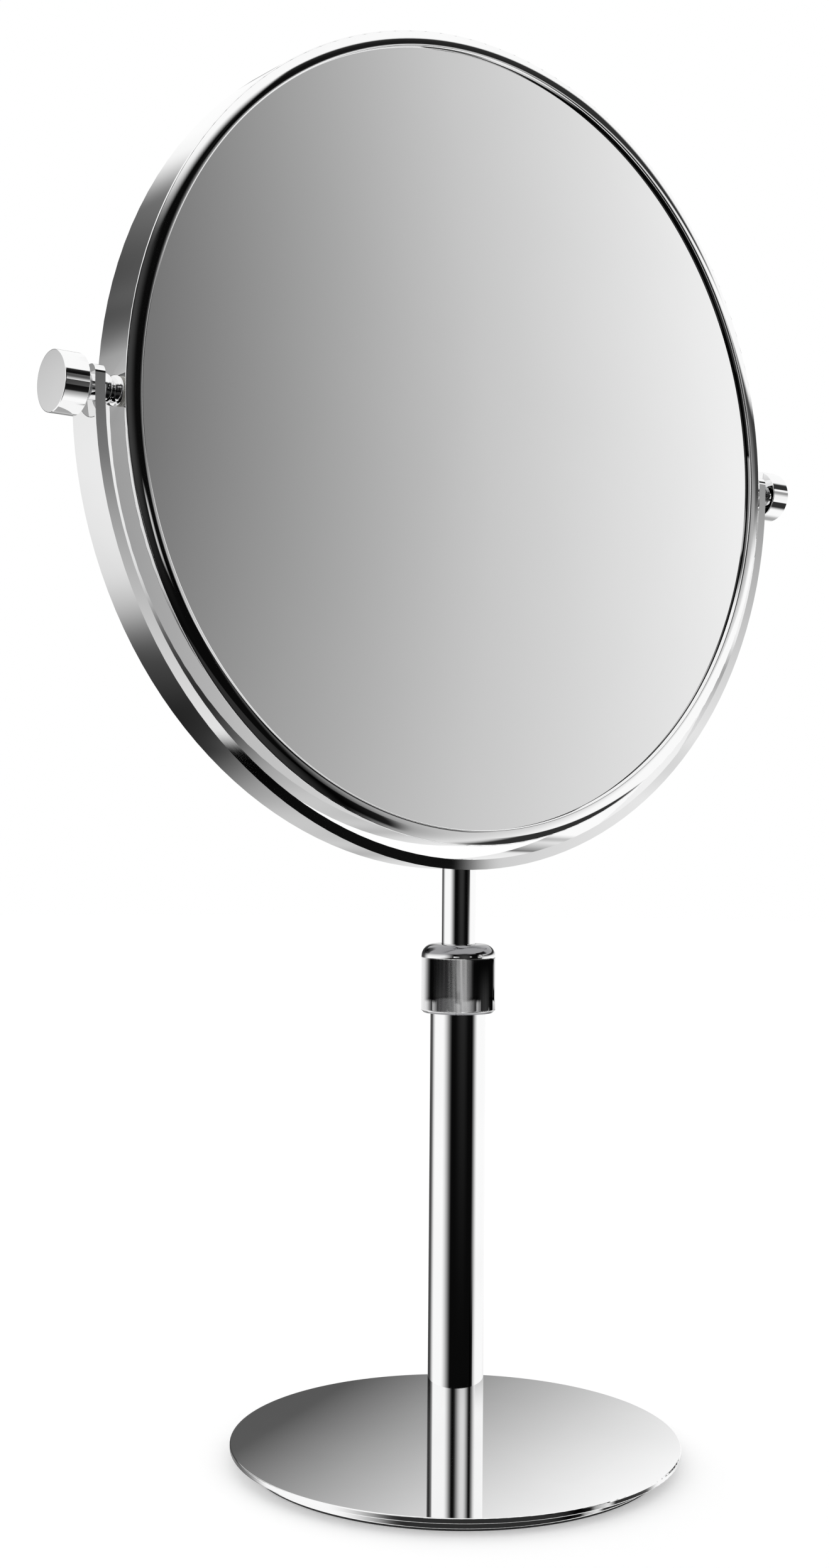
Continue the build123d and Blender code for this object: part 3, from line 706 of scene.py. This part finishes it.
# %% Dome of the cover
cover_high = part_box("rear_cover")[1] / mm
cover_radius, cover_apex = cover_high.x, cover_high.y
cover_wall, cover_rise, border = 0.6, 3.5, 3.13
dome_radius = cover_radius - border
dome_curve = (dome_radius**2 + cover_rise**2) / (2 * cover_rise)
dome_steps = 36
face = [dome_radius * i / dome_steps for i in range(dome_steps + 1)]
section = [(r, cover_apex - ball_depth(dome_curve, r)) for r in face]
section += [(cover_radius, cover_apex - cover_rise)]
cover = draw_section("rear_dome", [(r * mm, y * mm, head_height) for r, y in section])
spin_section(head, (0, 1, 0), steps=192)
faces_back = sum(polygon.normal.y for polygon in cover.data.polygons) > 0
print("dome faces", "back" if faces_back else "front")

# %% Wall of the cover
wall = cover.modifiers.new("wall", "SOLIDIFY")
wall.thickness = cover_wall * mm
wall.offset = -1 if faces_back else 1
bpy.ops.object.modifier_apply(modifier="wall")
fit_piece(cover, "rear_cover", "mirror", rolled_chrome)

# %% [markdown]
# ## The non-slip pad
# The pad under the base is a die-cut rubber sheet. Round grooves in its underside let it grip and keep it
# from sucking itself to a wet shelf. They are part of the section, so spin makes pad and grooves in one go.

# %% Section of the pad
pad_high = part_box("base_pad")[1] / mm
pad_radius, pad_top, pad_edge = pad_high.x, pad_high.z, 0.1
groove_depth, groove_half, groove_slope = 0.25, 0.5, 0.3
groove_radii = (50, 46, 42, 38, 30, 26, 22)
section = [
    (0, pad_top),
    (pad_radius - pad_edge, pad_top),
    (pad_radius, pad_top - pad_edge),
    (pad_radius, pad_edge),
    (pad_radius - pad_edge, 0),
]
for groove in groove_radii:
    section += [
        (groove + groove_half + groove_slope, 0),
        (groove + groove_half, groove_depth),
        (groove - groove_half, groove_depth),
        (groove - groove_half - groove_slope, 0),
    ]
section += [(0, 0)]
pad = draw_section("grooved_pad", [(r * mm, 0, z * mm) for r, z in section])
spin_section((0, 0, 0), (0, 0, 1), steps=144)
fit_piece(pad, "base_pad", "base", black_rubber)

# %% [markdown]
# ## Dressing the solids
# The other solids keep their shape and get a finish. Which one depends on how the piece was made: spun,
# drawn and rolled pieces carry their polish in different directions.

# %% Dress the solids
wearing = {
    "base_plate": spun_chrome,
    "base_weight": spun_chrome,
    "outer_tube": drawn_chrome,
    "slide_rod": drawn_chrome,
    "yoke": rolled_chrome,
    "mirror_rim": ring_chrome,
    "knob_left": turned_chrome,
    "knob_right": turned_chrome,
    "pivot_stud_left": turned_chrome,
    "pivot_stud_right": turned_chrome,
    "base_screw": post_steel,
    "rod_ring": post_steel,
    "yoke_screw": post_steel,
    "pivot_washer_left": pivot_steel,
    "pivot_washer_right": pivot_steel,
    "saddle_nut_left": pivot_steel,
    "saddle_nut_right": pivot_steel,
    "tube_foot": clamp_brass,
    "tube_head": clamp_brass,
    "collet": clamp_brass,
    "rod_guide": milky_nylon,
    "yoke_bush_left": milky_nylon,
    "yoke_bush_right": milky_nylon,
    "backing_ring": grey_foam,
}
for node_name, finish in wearing.items():
    frame["nodes"][node_name].material_slots[0].material = finish
print(len(wearing), "solids dressed")
